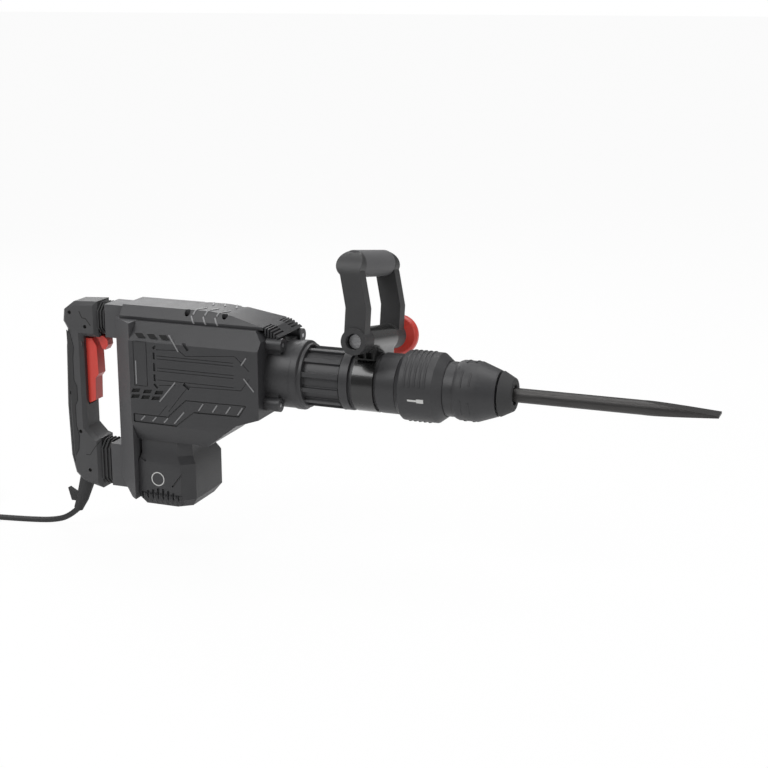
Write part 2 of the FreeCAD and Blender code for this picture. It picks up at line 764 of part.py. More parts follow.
def shell_outline(grow):
    """Side view of the shells; grow is negative for the space inside."""
    front = float(s.shell_front_at) - grow
    back = float(s.shell_back_at) + grow
    top = float(s.shell_top) + grow
    bottom = -float(s.waist_level) - grow
    return [
        (-back, bottom),
        (-back, top),
        (-front - 12, top),
        (-front, top - 12),
        (-front, -49 - grow),
        (-front - 32, -60 - grow),
        (-front - 80, bottom),
    ]


def shell_section(grow):
    """Front view of one shell: widest at the side panel, sloping in above and below."""
    half = float(s.shell_half) + grow
    top = float(s.shell_top) + grow
    bottom = -float(s.waist_level) - grow
    return [
        (-half, -70),
        (-half, 40),
        (-half + 22, top + 1),
        (0, top + 1),
        (0, bottom - 1),
        (-half + 14, bottom - 1),
    ]


def side_shell(side):
    wall = float(s.shell_wall)
    outer = prism("XZ", shell_outline(0), -s.shell_half - 1, 0)
    outer = outer.common(prism("YZ", shell_section(0), -s.shell_back_at - 1, -s.shell_front_at + 1))
    inner = prism("XZ", shell_outline(-wall), -s.shell_half, 1)
    inner_section = [(min(y, 0) if y < 0 else 2, z) for y, z in shell_section(-wall)]
    inner = inner.common(prism("YZ", inner_section, -s.shell_back_at, -s.shell_front_at))
    shell = outer.cut(inner)
    spigot = s.flange_radius - 1 + s.seat_gap
    shell = shell.cut(round_bar(spigot, (-s.shell_front_at - 10, 0, 0), (-s.shell_front_at + 1, 0, 0)))
    opening = round_bar(s.stator_radius + 1, (-s.motor_at, 0, -s.waist_level - 5), (-s.motor_at, 0, -80))
    shell = shell.cut(opening)
    if side > 0:
        shell = shell.mirror(Vector(), Vector(0, 1, 0))
    return shell


solid_of("right_side_shell", side_shell(-1))
solid_of("left_side_shell", side_shell(1))

# Top cover: bevelled hood on the shells, with its screws.

hood_line = [
    (-s.shell_back_at - 27, s.shell_top),
    (-s.shell_back_at - 27, s.cover_top),
    (as_size(-400), s.cover_top),
    (-s.shell_front_at - 53, s.cover_top - 3),
    (-s.shell_front_at - 25, s.cover_top - 9),
    (-s.shell_front_at + 4, s.cover_top - 15),
    (-s.shell_front_at + 18, s.cover_top - 24),
    (-s.shell_front_at + 18, s.shell_top - 8),
    (-s.shell_front_at + s.seat_gap, s.shell_top - 8),
    (-s.shell_front_at - 4, s.shell_top),
]
hood_section = [
    (-s.cover_half, s.shell_top - 20),
    (-s.cover_half, s.shell_top + 4),
    (-s.cover_half + 11, s.cover_top + 1),
    (s.cover_half - 11, s.cover_top + 1),
    (s.cover_half, s.shell_top + 4),
    (s.cover_half, s.shell_top - 20),
]
hood = prism("XZ", hood_line, -s.cover_half, s.cover_half)
hood = hood.common(prism("YZ", hood_section, -s.shell_back_at - 30, 0))
hollow = box_shape(
    (-s.shell_back_at + 10, -s.cover_half + 5, s.shell_top - 30),
    (-s.shell_front_at - 60, s.cover_half - 5, s.cover_top - s.shell_wall - 4),
)
hood = hood.cut(hollow)
screw_seats = [(-433, 28), (-379, 28), (-433, -28), (-379, -28)]
for x, y in screw_seats:
    hood = hood.cut(round_bar(4, (x, y, s.cover_top - 12), (x, y, s.cover_top + 5)))
    hood = hood.cut(round_bar(1.9, (x, y, s.shell_top - 1), (x, y, s.cover_top)))
solid_of("top_cover", hood)
cover_screws = []
for x, y in screw_seats:
    head = round_bar(3.5, (x, y, s.cover_top - 12), (x, y, s.cover_top - 9))
    cover_screws.append(head.fuse(round_bar(1.8, (x, y, s.shell_top + 0.1), (x, y, s.cover_top - 12))))
solid_of("cover_screws", Part.makeCompound(cover_screws))

# Rear cover: the spine that closes the shells and carries both handle stubs.

stub_half = s.handle_half - 1


def rear_cover_shape():
    plan = [
        (-s.shell_back_at, -s.shell_half + 2),
        (-s.shell_back_at, s.shell_half - 2),
        (-s.rear_face_at, s.rear_half),
        (-s.rear_face_at, -s.rear_half),
    ]
    low = -float(s.pot_level) + 9
    body = prism("XY", plan, low, s.shell_top)
    cut_corner = [
        (-s.rear_face_at - 1, low - 1),
        (-s.rear_face_at - 1, low + 18),
        (-s.shell_back_at - 8, low - 1),
    ]
    body = body.cut(prism("XZ", cut_corner, -80, 80))
    room = inset([floats(p) for p in plan], s.shell_wall)
    body = body.cut(prism("XY", room, low + 4, s.shell_top - s.shell_wall))
    upper = box_shape((-s.stub_at, -stub_half, 30), (-s.rear_face_at + 4, stub_half, s.handle_top - 2))
    step = box_shape(
        (-s.stub_at, -stub_half, s.shell_top),
        (-s.shell_back_at - 27 - s.seat_gap, stub_half, s.handle_top - 2),
    )
    lower = box_shape((-s.stub_at, -stub_half, -178), (-s.rear_face_at + 4, stub_half, -118))
    return body.fuse([upper, step, lower]).removeSplitter()


rear_cover = rear_cover_shape()
UPPER_ROD = 54
LOWER_ROD = -148
ROD_ENGAGED = 24
for level in (UPPER_ROD, LOWER_ROD):
    boss = round_bar(s.rod_radius + 4, (-s.stub_at, 0, level), (-s.stub_at + 24, 0, level))
    rear_cover = rear_cover.fuse(boss)
    rear_cover = rear_cover.cut(
        round_bar(s.rod_radius + s.running_gap, (-s.stub_at, 0, level), (-s.stub_at + 20, 0, level))
    )
solid_of("rear_cover", rear_cover)
rods = [
    round_bar(s.rod_radius, (-s.upper_joint_at - ROD_ENGAGED, 0, level), (-s.stub_at + 20, 0, level))
    for level in (UPPER_ROD, LOWER_ROD)
]
solid_of("guide_rods", Part.makeCompound(rods))

# Motor pot: cup that holds the motor, with the waist under the side shells.

WAIST_SHIFT = 3
WAIST_BORE = 32

def pot_plan(grow, front_grow):
    back = float(s.shell_back_at) - float(s.seat_gap) + grow
    half = float(s.pot_half) + grow
    front = float(s.pot_front_at) - grow + front_grow
    return [
        (-back, -half),
        (-front - 16, -half),
        (-front, -half + 13),
        (-front, half - 13),
        (-front - 16, half),
        (-back, half),
    ]


def motor_pot_shape():
    full_top = -126.0
    waist_top = -float(s.waist_level) - float(s.seat_gap)
    low = -float(s.pot_level)
    foot = Part.makeLoft(
        [wire_of("XY", pot_plan(-7, 2), low), wire_of("XY", pot_plan(0, 0), low + 12)], True, True
    )
    cup = prism("XY", pot_plan(0, 0), low + 12, full_top)
    neck = Part.makeLoft(
        [wire_of("XY", pot_plan(0, 0), full_top), wire_of("XY", pot_plan(-4, 2), full_top + 10)],
        True,
        True,
    )
    waist = prism("XY", pot_plan(-4, 2), full_top + 10, waist_top)
    body = foot.fuse([cup, neck, waist]).removeSplitter()
    bore = round_bar(s.stator_radius + s.running_gap, (-s.motor_at, 0, floor_inside), (-s.motor_at, 0, full_top + 14))
    waist_x = -s.motor_at + WAIST_SHIFT
    upper_bore = round_bar(WAIST_BORE, (waist_x, 0, full_top + 10), (waist_x, 0, waist_top + 1))
    body = body.cut(bore)
    holder_room = box_shape((-s.motor_at - 9, -34, full_top), (-s.motor_at + 9, 34, waist_top + 1))
    return body.cut([upper_bore, holder_room])


solid_of("motor_pot", motor_pot_shape())
GRILLE_RIBS = 8
grille = []
for i in range(GRILLE_RIBS):
    x = -float(s.shell_back_at) + 8 + i * 7.6
    rib = round_bar(2.4, (x, -s.pot_half + 6.2, -s.pot_level + 4), (x, -s.pot_half - 1, -s.pot_level + 18))
    grille.append(rib)
pot = pieces["motor_pot"]
pot.Shape = pot.Shape.fuse(grille).removeSplitter()

# Bearing plate in the pot's waist, and the carrier across the shells for the crank bearing.

plate_x = -s.motor_at + WAIST_SHIFT
bridge = round_bar(
    WAIST_BORE - s.running_gap, (plate_x, 0, upper_bearing_low), (plate_x, 0, upper_bearing_high)
)
bridge = bridge.cut(round_bar(bearing_outer + s.running_gap, (-s.motor_at, 0, -120), (-s.motor_at, 0, -60)))
solid_of("bearing_bridge", bridge)
carrier_half = s.shell_half - s.shell_wall - s.seat_gap
crank_plate = box_shape(
    (crank_x - 24, -carrier_half, crank_bearing_low + 12), (crank_x + 24, carrier_half, crank_bearing_high)
)
crank_plate = crank_plate.cut(round_bar(16 + s.running_gap, (crank_x, 0, -80), (crank_x, 0, 0)))
solid_of("crank_carrier", crank_plate)

# Rear handle: two shells, rubber back, trigger and its lock, switch, bellows, springs.

grip_front_at = s.handle_rear_at - s.grip_deep
handle_line = [
    (-s.upper_joint_at, s.opening_top - 4),
    (-s.upper_joint_at, s.handle_top),
    (-s.handle_rear_at + 18, s.handle_top - 2),
    (-s.handle_rear_at + 2, s.handle_top - 14),
    (-s.handle_rear_at, s.handle_top - 30),
    (-s.handle_rear_at + 6, s.handle_top - 40),
    (-s.handle_rear_at + 3, s.handle_top - 66),
    (-s.handle_rear_at, as_size(-70)),
    (-s.handle_rear_at + 2, -s.opening_bottom - 30),
    (-s.handle_rear_at + 8, -s.handle_bottom + 18),
    (-s.handle_rear_at + 20, -s.handle_bottom + 7),
    (-s.lower_joint_at, -s.handle_bottom),
    (-s.lower_joint_at, -s.opening_bottom - 2),
    (-grip_front_at + 13, -s.opening_bottom),
    (-grip_front_at, -s.opening_bottom + 13),
    (-grip_front_at, s.opening_top - 4),
]
trigger_top = s.opening_top - 7
trigger_bottom = trigger_top - s.trigger_long
slot_half = s.trigger_half + s.free_gap


def handle_half(side):
    line = [floats(p) for p in handle_line]
    shell = bevelled("XZ", line, 0, s.handle_half, 5)
    shell = shell.cut(prism("XZ", inset(line, s.handle_wall), -1, s.handle_half - s.handle_wall - 1))
    slot = box_shape(
        (-grip_front_at - 12, -1, trigger_bottom - 2), (-grip_front_at + 1, slot_half, trigger_top + 2)
    )
    shell = shell.cut(slot)
    for level, joint in ((UPPER_ROD, s.upper_joint_at), (LOWER_ROD, s.lower_joint_at)):
        hole = round_bar(s.rod_radius + s.running_gap, (-joint - 8, 0, level), (-joint + 1, 0, level))
        shell = shell.cut(hole)
    cord_hole = round_bar(8, (-615, 0, -s.handle_bottom - 20), (-615, 0, -s.handle_bottom + 40))
    shell = shell.cut(cord_hole)
    for x, z in HANDLE_SCREWS:
        shell = shell.cut(round_bar(2.6, (x, -1, z), (x, s.handle_half + 1, z)))
    if side < 0:
        shell = shell.mirror(Vector(), Vector(0, 1, 0))
    return shell


HANDLE_SCREWS = [(-617, 60), (-594, 42), (-621, -52), (-609, -106), (-617, -134), (-597, -160)]
solid_of("handle_right_shell", handle_half(-1))
solid_of("handle_left_shell", handle_half(1))
screw_long = s.handle_half - 3
handle_screws = [
    round_bar(2.5, (x, -screw_long, z), (x, screw_long, z)) for x, z in HANDLE_SCREWS
]
solid_of("handle_screws", Part.makeCompound(handle_screws))

# The trigger hangs on a pin inside the grip; the lock lever is the hook in front of it.

TRIGGER_PIN = (-605, 18)
LOCK_PIN = (-588, 35)
trigger_front = -grip_front_at + 17
trigger_line = [
    (-grip_front_at - 10, trigger_top - 1),
    (trigger_front - 8, trigger_top - 1),
    (trigger_front - 1, trigger_top - 12),
    (trigger_front, trigger_top - 50),
    (trigger_front - 5, trigger_top - 56),
    (trigger_front - 6, trigger_bottom + 5),
    (-grip_front_at + 1, trigger_bottom),
    (-grip_front_at - 5, trigger_bottom + 12),
    (-grip_front_at - 5, trigger_top - 24),
    (-grip_front_at - 10, trigger_top - 20),
]


def pierced(name, body, cutters):
    """A body with round cutters taken out of it."""
    for count, tool in enumerate(cutters):
        cut = doc.addObject("Part::Cut", f"{name}_pierced_{count}")
        cut.Base = body
        cut.Tool = tool
        body = cut
    return keep(name, body)


pin_radius = as_size(2)
pin_half = s.handle_half - 2
trigger_blank = sketched("trigger", trigger_line, s.trigger_half)
trigger_base = (as_size(TRIGGER_PIN[0]), as_size(0), as_size(TRIGGER_PIN[1]))
pierced(
    "trigger",
    trigger_blank,
    [drilled("trigger_bore", -30, 30, pin_radius + s.running_gap, TURN_TO_Y, trigger_base)],
)
turned("trigger_pin", [(-pin_half, pin_radius), (pin_half, pin_radius)], (), TURN_TO_Y, trigger_base)
lock_line = [
    (as_size(LOCK_PIN[0] - 4), as_size(LOCK_PIN[1] + 4)),
    (as_size(LOCK_PIN[0] + 3), as_size(LOCK_PIN[1] + 4)),
    (as_size(LOCK_PIN[0] + 3), s.opening_top - 3),
    (as_size(LOCK_PIN[0] + 14), s.opening_top - 4),
    (as_size(LOCK_PIN[0] + 20), s.opening_top - 9),
    (as_size(LOCK_PIN[0] + 20.5), s.opening_top - 16),
    (as_size(LOCK_PIN[0] + 16), s.opening_top - 23),
    (as_size(LOCK_PIN[0] + 11), s.opening_top - 21),
    (as_size(LOCK_PIN[0] + 7.5), s.opening_top - 12),
    (as_size(LOCK_PIN[0] - 1), s.opening_top - 0.5),
    (as_size(LOCK_PIN[0] - 4), as_size(LOCK_PIN[1] - 1)),
]
lock_half = s.trigger_half - 2
lock_blank = sketched("trigger_lock", lock_line, lock_half)
lock_base = (as_size(LOCK_PIN[0]), as_size(0), as_size(LOCK_PIN[1]))
pierced(
    "trigger_lock",
    lock_blank,
    [drilled("lock_bore", -30, 30, pin_radius + s.running_gap, TURN_TO_Y, lock_base)],
)
turned("lock_pin", [(-pin_half, pin_radius), (pin_half, pin_radius)], (), TURN_TO_Y, lock_base)
lock_room = box_shape(
    (LOCK_PIN[0] - 9, -1, s.opening_top - 6), (-s.upper_joint_at + 1, slot_half, 50)
)
for name in ("handle_right_shell", "handle_left_shell"):
    side = -1 if name == "handle_right_shell" else 1
    shell = pieces[name].Shape
    room = lock_room if side > 0 else lock_room.mirror(Vector(), Vector(0, 1, 0))
    shell = shell.cut(room)
    for x, z in (TRIGGER_PIN, LOCK_PIN):
        boss = round_bar(4.5, (x, side * float(slot_half), z), (x, side * float(s.handle_half - 2), z))
        hole = round_bar(pin_radius + s.running_gap, (x, 0, z), (x, side * float(pin_half), z))
        shell = shell.fuse(boss).cut(hole)
    pieces[name].Shape = shell.removeSplitter()
switch_half = s.handle_half - s.handle_wall - 1 - s.seat_gap
solid_of(
    "switch",
    box_shape((-622.3, -switch_half, -30), (-613.5, switch_half, 6)).fuse(
        box_shape((-613.5, -3, -22), (-611.3, 3, -10))
    ),
)

# Rubber back of the grip, let into both handle shells.

whole_handle = bevelled("XZ", [floats(p) for p in handle_line], 0, s.handle_half, 5)
whole_handle = whole_handle.fuse(whole_handle.mirror(Vector(), Vector(0, 1, 0)))
behind = whole_handle.copy()
behind.translate(Vector(2.2, 0, 0))
pad_room = box_shape((-s.handle_rear_at - 1, -30, -150), (-s.handle_rear_at + 16, 30, 36))
pad = whole_handle.cut(behind).common(pad_room).removeSplitter()
solid_of("grip_pad", pad)
for name in ("handle_right_shell", "handle_left_shell"):
    pieces[name].Shape = pieces[name].Shape.cut(pad)

# Bellows and rubber buffers between the handle and the stubs.


def bellows(start_at, end_at, low, high):
    """Three-ribbed soft sleeve between two faces that look along the tool axis."""
    start, end = -float(start_at), -float(end_at)
    ribs = 3
    pitch = (end - start) / ribs
    half = float(s.handle_half) - 1.5
    rings = []
    for i in range(ribs):
        for offset, share, shrink in ((0.0, 0.28, 2.4), (0.28, 0.44, 0.0), (0.72, 0.28, 2.4)):
            near = start + (i + offset) * pitch
            outline = octagon(half - shrink, float(low) + shrink, float(high) - shrink, 10)
            rings.append(prism("YZ", outline, near, near + share * pitch))
    body = rings[0].fuse(rings[1:]).removeSplitter()
    hollow = prism("YZ", octagon(half - 5, float(low) + 5, float(high) - 5, 7), start - 1, end + 1)
    return body.cut(hollow)


def octagon(half, low, high, corner_cut):
    return [
        (-half, low + corner_cut),
        (-half, high - corner_cut),
        (-half + corner_cut, high),
        (half - corner_cut, high),
        (half, high - corner_cut),
        (half, low + corner_cut),
        (half - corner_cut, low),
        (-half + corner_cut, low),
    ]


solid_of("upper_bellows", bellows(s.upper_joint_at, s.stub_at, s.opening_top, s.handle_top - 2))
solid_of("lower_bellows", bellows(s.lower_joint_at, s.stub_at, -s.handle_bottom + 5, -s.opening_bottom - 4))
buffers = []
for level, joint in ((UPPER_ROD, s.upper_joint_at), (LOWER_ROD, s.lower_joint_at)):
    tube = round_bar(s.rod_radius + 4, (-joint, 0, level), (-s.stub_at, 0, level))
    buffers.append(tube.cut(round_bar(s.rod_radius + 0.3, (-joint, 0, level), (-s.stub_at, 0, level))))
solid_of("handle_buffers", Part.makeCompound(buffers))

# Mains lead: strain relief, cord, coil of spare length and plug.

RELIEF_ROOT = (-613, 0, -177)
RELIEF_NECK = (-624, 0, -209)
CORD_EXIT = (-632, 0, -226)
CORD_ROUTE = [
    CORD_EXIT,
    (-648, 0, -241),
    (-674, -2, -248.5),
    (-704, -7, -250),
    (-740, -14, -250),
    (-780, -20.5, -250),
    (-816.7, -24, -250),
]
COIL_CENTRE = (-862, 20)


def tapered(near_radius, far_radius, start, end):
    start, end = Vector(*start), Vector(*end)
    return Part.makeCone(near_radius, far_radius, (end - start).Length, start, end - start)


relief = tapered(11, 8.6, RELIEF_ROOT, RELIEF_NECK)
relief = relief.fuse(Part.makeSphere(8.6, Vector(*RELIEF_NECK)))
relief = relief.fuse(tapered(8.6, 6.4, RELIEF_NECK, CORD_EXIT))
hook = prism("XZ", [(-630, -204), (-645, -196), (-640, -214), (-633, -214)], -4, 4)
relief_blank = relief.fuse(hook).removeSplitter()
for name in ("handle_right_shell", "handle_left_shell"):
    pieces[name].Shape = pieces[name].Shape.cut(relief)


def cord_tube(route, radius):
    """Straight runs joined by tangent arcs, as one swept solid; prints each arc's radius."""
    points = [Vector(*p) for p in route]
    edges = []
    at = points[0]
    for before, middle, after in zip(points, points[1:], points[2:]):
        incoming, outgoing = middle - before, after - middle
        turn = incoming.getAngle(outgoing)
        reach = 0.45 * min(incoming.Length, outgoing.Length)
        bend = reach / math.tan(turn / 2)
        print(f"cord arc of {math.degrees(turn):.1f} degrees, radius {bend:.0f}")
        start = middle - incoming.normalize() * reach
        end = middle + outgoing.normalize() * reach
        centre_way = (outgoing - incoming).normalize()
        centre = middle + centre_way * math.hypot(bend, reach)
        edges.append(Part.LineSegment(at, start).toShape())
        edges.append(Part.Arc(start, centre - centre_way * bend, end).toShape())
        at = end
    edges.append(Part.LineSegment(at, points[-1]).toShape())
    path = Part.Wire(edges)
    first = points[1] - points[0]
    section = Part.Wire(Part.makeCircle(float(radius), points[0], first))
    tube = path.makePipeShell([section], True, True)
    share = tube.Volume / (math.pi * float(radius) ** 2 * path.Length)
    print(f"cord tube of {path.Length:.0f} mm, volume {share:.4f} of its section times its length")
    return tube


cord = cord_tube(CORD_ROUTE, s.cord_radius)
solid_of("power_cord", cord)
solid_of("strain_relief", relief_blank.cut(cord))
coil_x, coil_y = COIL_CENTRE
coil_outer = s.coil_radius + s.coil_wide / 2
coil_inner = s.coil_radius - s.coil_wide / 2
coil_top = -s.floor_level + s.coil_tall
turned(
    "cord_coil",
    [(-s.floor_level, coil_outer), (coil_top, coil_outer)],
    [(-s.floor_level - 1, coil_inner), (coil_top + 1, coil_inner)],
    UPRIGHT,
    (as_size(coil_x), as_size(coil_y), as_size(0)),
)
plug_y = coil_y - float(coil_outer) + float(s.cord_radius)
plug_start = coil_x - 33
plug_level = -float(s.floor_level) + 15
plug_shoulder = plug_start - 16
plug_face = plug_start - 50
tail = tapered(7, 4.8, (plug_shoulder, plug_y, plug_level), (plug_start, plug_y, plug_level))
plug_shell = box_shape(
    (plug_face, plug_y - 17, plug_level - 15), (plug_shoulder, plug_y + 17, plug_level + 15)
)
plug_shell = plug_shell.makeFillet(5, [e for e in plug_shell.Edges if abs(e.tangentAt(0).x) > 0.9])
solid_of("plug_body", plug_shell.fuse(tail))
PIN_PITCH = 19
PIN_LENGTH = 19
PIN_RADIUS = 2.4
plug_pins = []
for side in (-1, 1):
    pin_y = plug_y + side * PIN_PITCH / 2
    plug_pins.append(
        round_bar(PIN_RADIUS, (plug_face, pin_y, plug_level), (plug_face - PIN_LENGTH, pin_y, plug_level))
    )
solid_of("plug_pins", Part.makeCompound(plug_pins))

# Side handle: clamp band and hub, swinging loop with its grip, bolt and red knob.
# It is drawn upright and then rolled about the tool axis.

ROLLED = Placement(Vector(), Rotation(Vector(1, 0, 0), -float(s.side_roll)))
pivot = (-float(s.pivot_at), float(s.pivot_height))
grip_axis = (-float(s.pivot_at + s.side_grip_lean), float(s.side_grip_height))


def cross_bar(radius, axis, start, end):
    """A cylinder across the tool at a side-view place."""
    return round_bar(radius, (axis[0], start, axis[1]), (axis[0], end, axis[1]))


def clamp_shape():
    band = round_bar(s.band_radius, (-s.band_back_at, 0, 0), (-s.band_front_at, 0, 0))
    foot = box_shape(
        (-s.band_back_at + 2, -34, s.band_seat_radius - 6), (-s.band_front_at, 34, s.pivot_height - 6)
    )
    hub = cross_bar(s.hub_radius, pivot, -s.hub_half, s.hub_half)
    neck = box_shape(
        (-s.band_back_at + 6, -34, s.pivot_height - 12), (-s.band_front_at - 1, 34, s.pivot_height)
    )
    body = band.fuse([foot, hub, neck]).removeSplitter()
    body = body.cut(
        round_bar(s.band_seat_radius + s.running_gap, (-s.band_back_at - 1, 0, 0), (0, 0, 0))
    )
    collar_room = round_bar(s.collar_radius + s.free_gap, (-s.barrel_front_at - 1.5, 0, 0), (0, 0, 0))
    body = body.cut(collar_room)
    body = body.cut(cross_bar(s.through_bolt_radius + s.running_gap, pivot, -60, 60))
    for side in (-1, 1):
        for x in (5.5 - s.band_back_at, 16.5 - s.band_back_at):
            low, high = sorted((side * 24.0, side * 35.0))
            body = body.cut(box_shape((x, low, 31), (x + 9, high, 39)))
    return body


solid_of("clamp_band", clamp_shape(), ROLLED)
arm_inner = float(s.hub_half) + 8.5
arm_outer = arm_inner + float(s.arm_thick)
eye_start = s.hub_half + s.free_gap
eye_end = arm_outer + 2.5
LOOP_CORNER = 30


def loop_shape():
    half = float(s.arm_wide) / 2
    knee = float(s.side_grip_height) - 53
    side_view = [
        (pivot[0] - half, pivot[1]),
        (pivot[0] - half, knee),
        (grip_axis[0] - half, grip_axis[1]),
        (grip_axis[0] + half, grip_axis[1]),
        (pivot[0] + half, knee),
        (pivot[0] + half, pivot[1]),
    ]
    profile = prism("XZ", side_view, -arm_outer, arm_outer)
    profile = profile.fuse(cross_bar(s.side_grip_radius, grip_axis, -arm_outer, arm_outer))
    profile = profile.fuse(cross_bar(s.arm_radius, pivot, -arm_outer, arm_outer))
    top = float(s.side_grip_height + s.side_grip_radius)
    frame = box_shape((-260, -arm_outer, 20), (-140, arm_outer, top))
    crown = [e for e in frame.Edges if abs(e.tangentAt(0).x) > 0.9 and e.CenterOfMass.z > top - 1]
    frame = frame.makeFillet(LOOP_CORNER, crown)
    frame = frame.cut(box_shape((-261, -arm_inner, 19), (-139, arm_inner, top + 1)))
    arms = profile.common(frame)
    eyes = [
        cross_bar(s.arm_radius, pivot, side * float(eye_start), side * eye_end) for side in (-1, 1)
    ]
    core = cross_bar(s.side_grip_radius - 6, grip_axis, -arm_inner - 2, arm_inner + 2)
    body = arms.fuse(eyes + [core]).removeSplitter()
    body = body.cut(cross_bar(s.through_bolt_radius + s.running_gap, pivot, -90, 90))
    return body.cut(cross_bar(10, pivot, -eye_end - 1, -eye_end + 16))


solid_of("side_handle_loop", loop_shape(), ROLLED)
sleeve = cross_bar(s.side_grip_radius, grip_axis, -arm_inner + 0.3, arm_inner - 0.3)
sleeve = sleeve.cut(cross_bar(s.side_grip_radius - 6 + s.running_gap, grip_axis, -60, 60))
solid_of("side_grip_sleeve", sleeve, ROLLED)
knob_start = eye_end + float(s.free_gap)
knob_end = knob_start + float(s.knob_long)
bolt_head = cross_bar(9, pivot, -eye_end + 9, -eye_end + 15.8)
bolt = cross_bar(s.through_bolt_radius, pivot, -eye_end + 15.8, knob_end - 8)
solid_of("through_bolt", bolt_head.fuse(bolt), ROLLED)


def knob_shape():
    """Mushroom knob: neck, flared head and a domed face."""
    radius = float(s.knob_radius)
    profile = [
        (0, 13.0),
        (6, 13.0),
        (10, radius - 3),
        (14, radius),
        (20, radius),
        (25, radius - 5),
        (float(s.knob_long), radius - 11),
    ]
    edge = [Vector(pivot[0] + r, knob_start + along, pivot[1]) for along, r in profile]
    ends = [Vector(pivot[0], knob_end, pivot[1]), Vector(pivot[0], knob_start, pivot[1])]
    section = Part.Face(Part.makePolygon(edge + ends + edge[:1]))
    body = section.revolve(Vector(pivot[0], 0, pivot[1]), Vector(0, 1, 0), 360)
    return body.cut(cross_bar(s.through_bolt_radius + s.running_gap, pivot, 0, knob_end - 7.5))


solid_of("clamp_knob", knob_shape(), ROLLED)

# Every object has to be sound before any file is written.

doc.recompute()
for obj in doc.Objects:
    if "Invalid" in obj.State or "Error" in obj.State:
        raise RuntimeError(f"{obj.Label} failed: {obj.State}")
for name, obj in pieces.items():
    if obj.Shape.isNull() or not obj.Shape.isValid() or not obj.Shape.Solids:
        raise RuntimeError(f"{name} has no sound shape")
os.makedirs("parts", exist_ok=True)
for name, obj in pieces.items():
    obj.Shape.exportStep(f"parts/{name}.step")
    box = obj.Shape.BoundBox
    print(f"{name}: {len(obj.Shape.Solids)} solids, {obj.Shape.Volume / 1000:.1f} cm3, {box}")
print(f"{len(pieces)} nodes")
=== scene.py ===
"""Looks of the electric jackhammer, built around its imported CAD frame."""

import json
import math

import bmesh
import bpy
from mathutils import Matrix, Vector
from mathutils.bvhtree import BVHTree


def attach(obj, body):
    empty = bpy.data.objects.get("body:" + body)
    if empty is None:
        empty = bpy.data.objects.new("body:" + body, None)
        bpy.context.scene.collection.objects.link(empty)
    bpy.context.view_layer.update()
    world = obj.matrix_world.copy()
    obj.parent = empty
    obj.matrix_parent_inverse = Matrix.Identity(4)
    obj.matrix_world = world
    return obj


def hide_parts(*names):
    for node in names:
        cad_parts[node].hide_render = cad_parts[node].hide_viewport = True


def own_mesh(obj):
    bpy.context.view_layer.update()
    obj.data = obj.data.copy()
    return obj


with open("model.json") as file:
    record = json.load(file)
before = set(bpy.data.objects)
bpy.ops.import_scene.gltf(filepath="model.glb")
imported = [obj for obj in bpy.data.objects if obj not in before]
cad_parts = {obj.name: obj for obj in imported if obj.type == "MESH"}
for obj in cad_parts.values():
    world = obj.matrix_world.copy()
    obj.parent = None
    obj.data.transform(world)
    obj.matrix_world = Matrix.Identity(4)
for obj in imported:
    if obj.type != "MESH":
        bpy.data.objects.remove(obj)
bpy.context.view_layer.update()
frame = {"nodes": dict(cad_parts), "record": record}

MM = 0.001
NODE_BODY = {n: b for b, ns in frame["record"]["behaviour"]["bodies"].items() for n in ns}
NODE_SLOT = {p["node"]: p["material_slot"] for p in frame["record"]["subparts"]}

# Camera.

AZIMUTH = math.radians(21)
ELEVATION = math.radians(14.8)
LENS = 70.3
camera_data = bpy.data.cameras.new("camera")
camera_data.lens = LENS
camera_data.sensor_width = 36
camera = bpy.data.objects.new("camera", camera_data)
camera.location = Vector((484.2, -1709.2, 481.4)) * MM
look = Vector(
    (
        -math.sin(AZIMUTH) * math.cos(ELEVATION),
        math.cos(AZIMUTH) * math.cos(ELEVATION),
        -math.sin(ELEVATION),
    )
)
camera.rotation_euler = look.to_track_quat("-Z", "Y").to_euler()
bpy.context.scene.collection.objects.link(camera)
bpy.context.scene.camera = camera


# Materials.


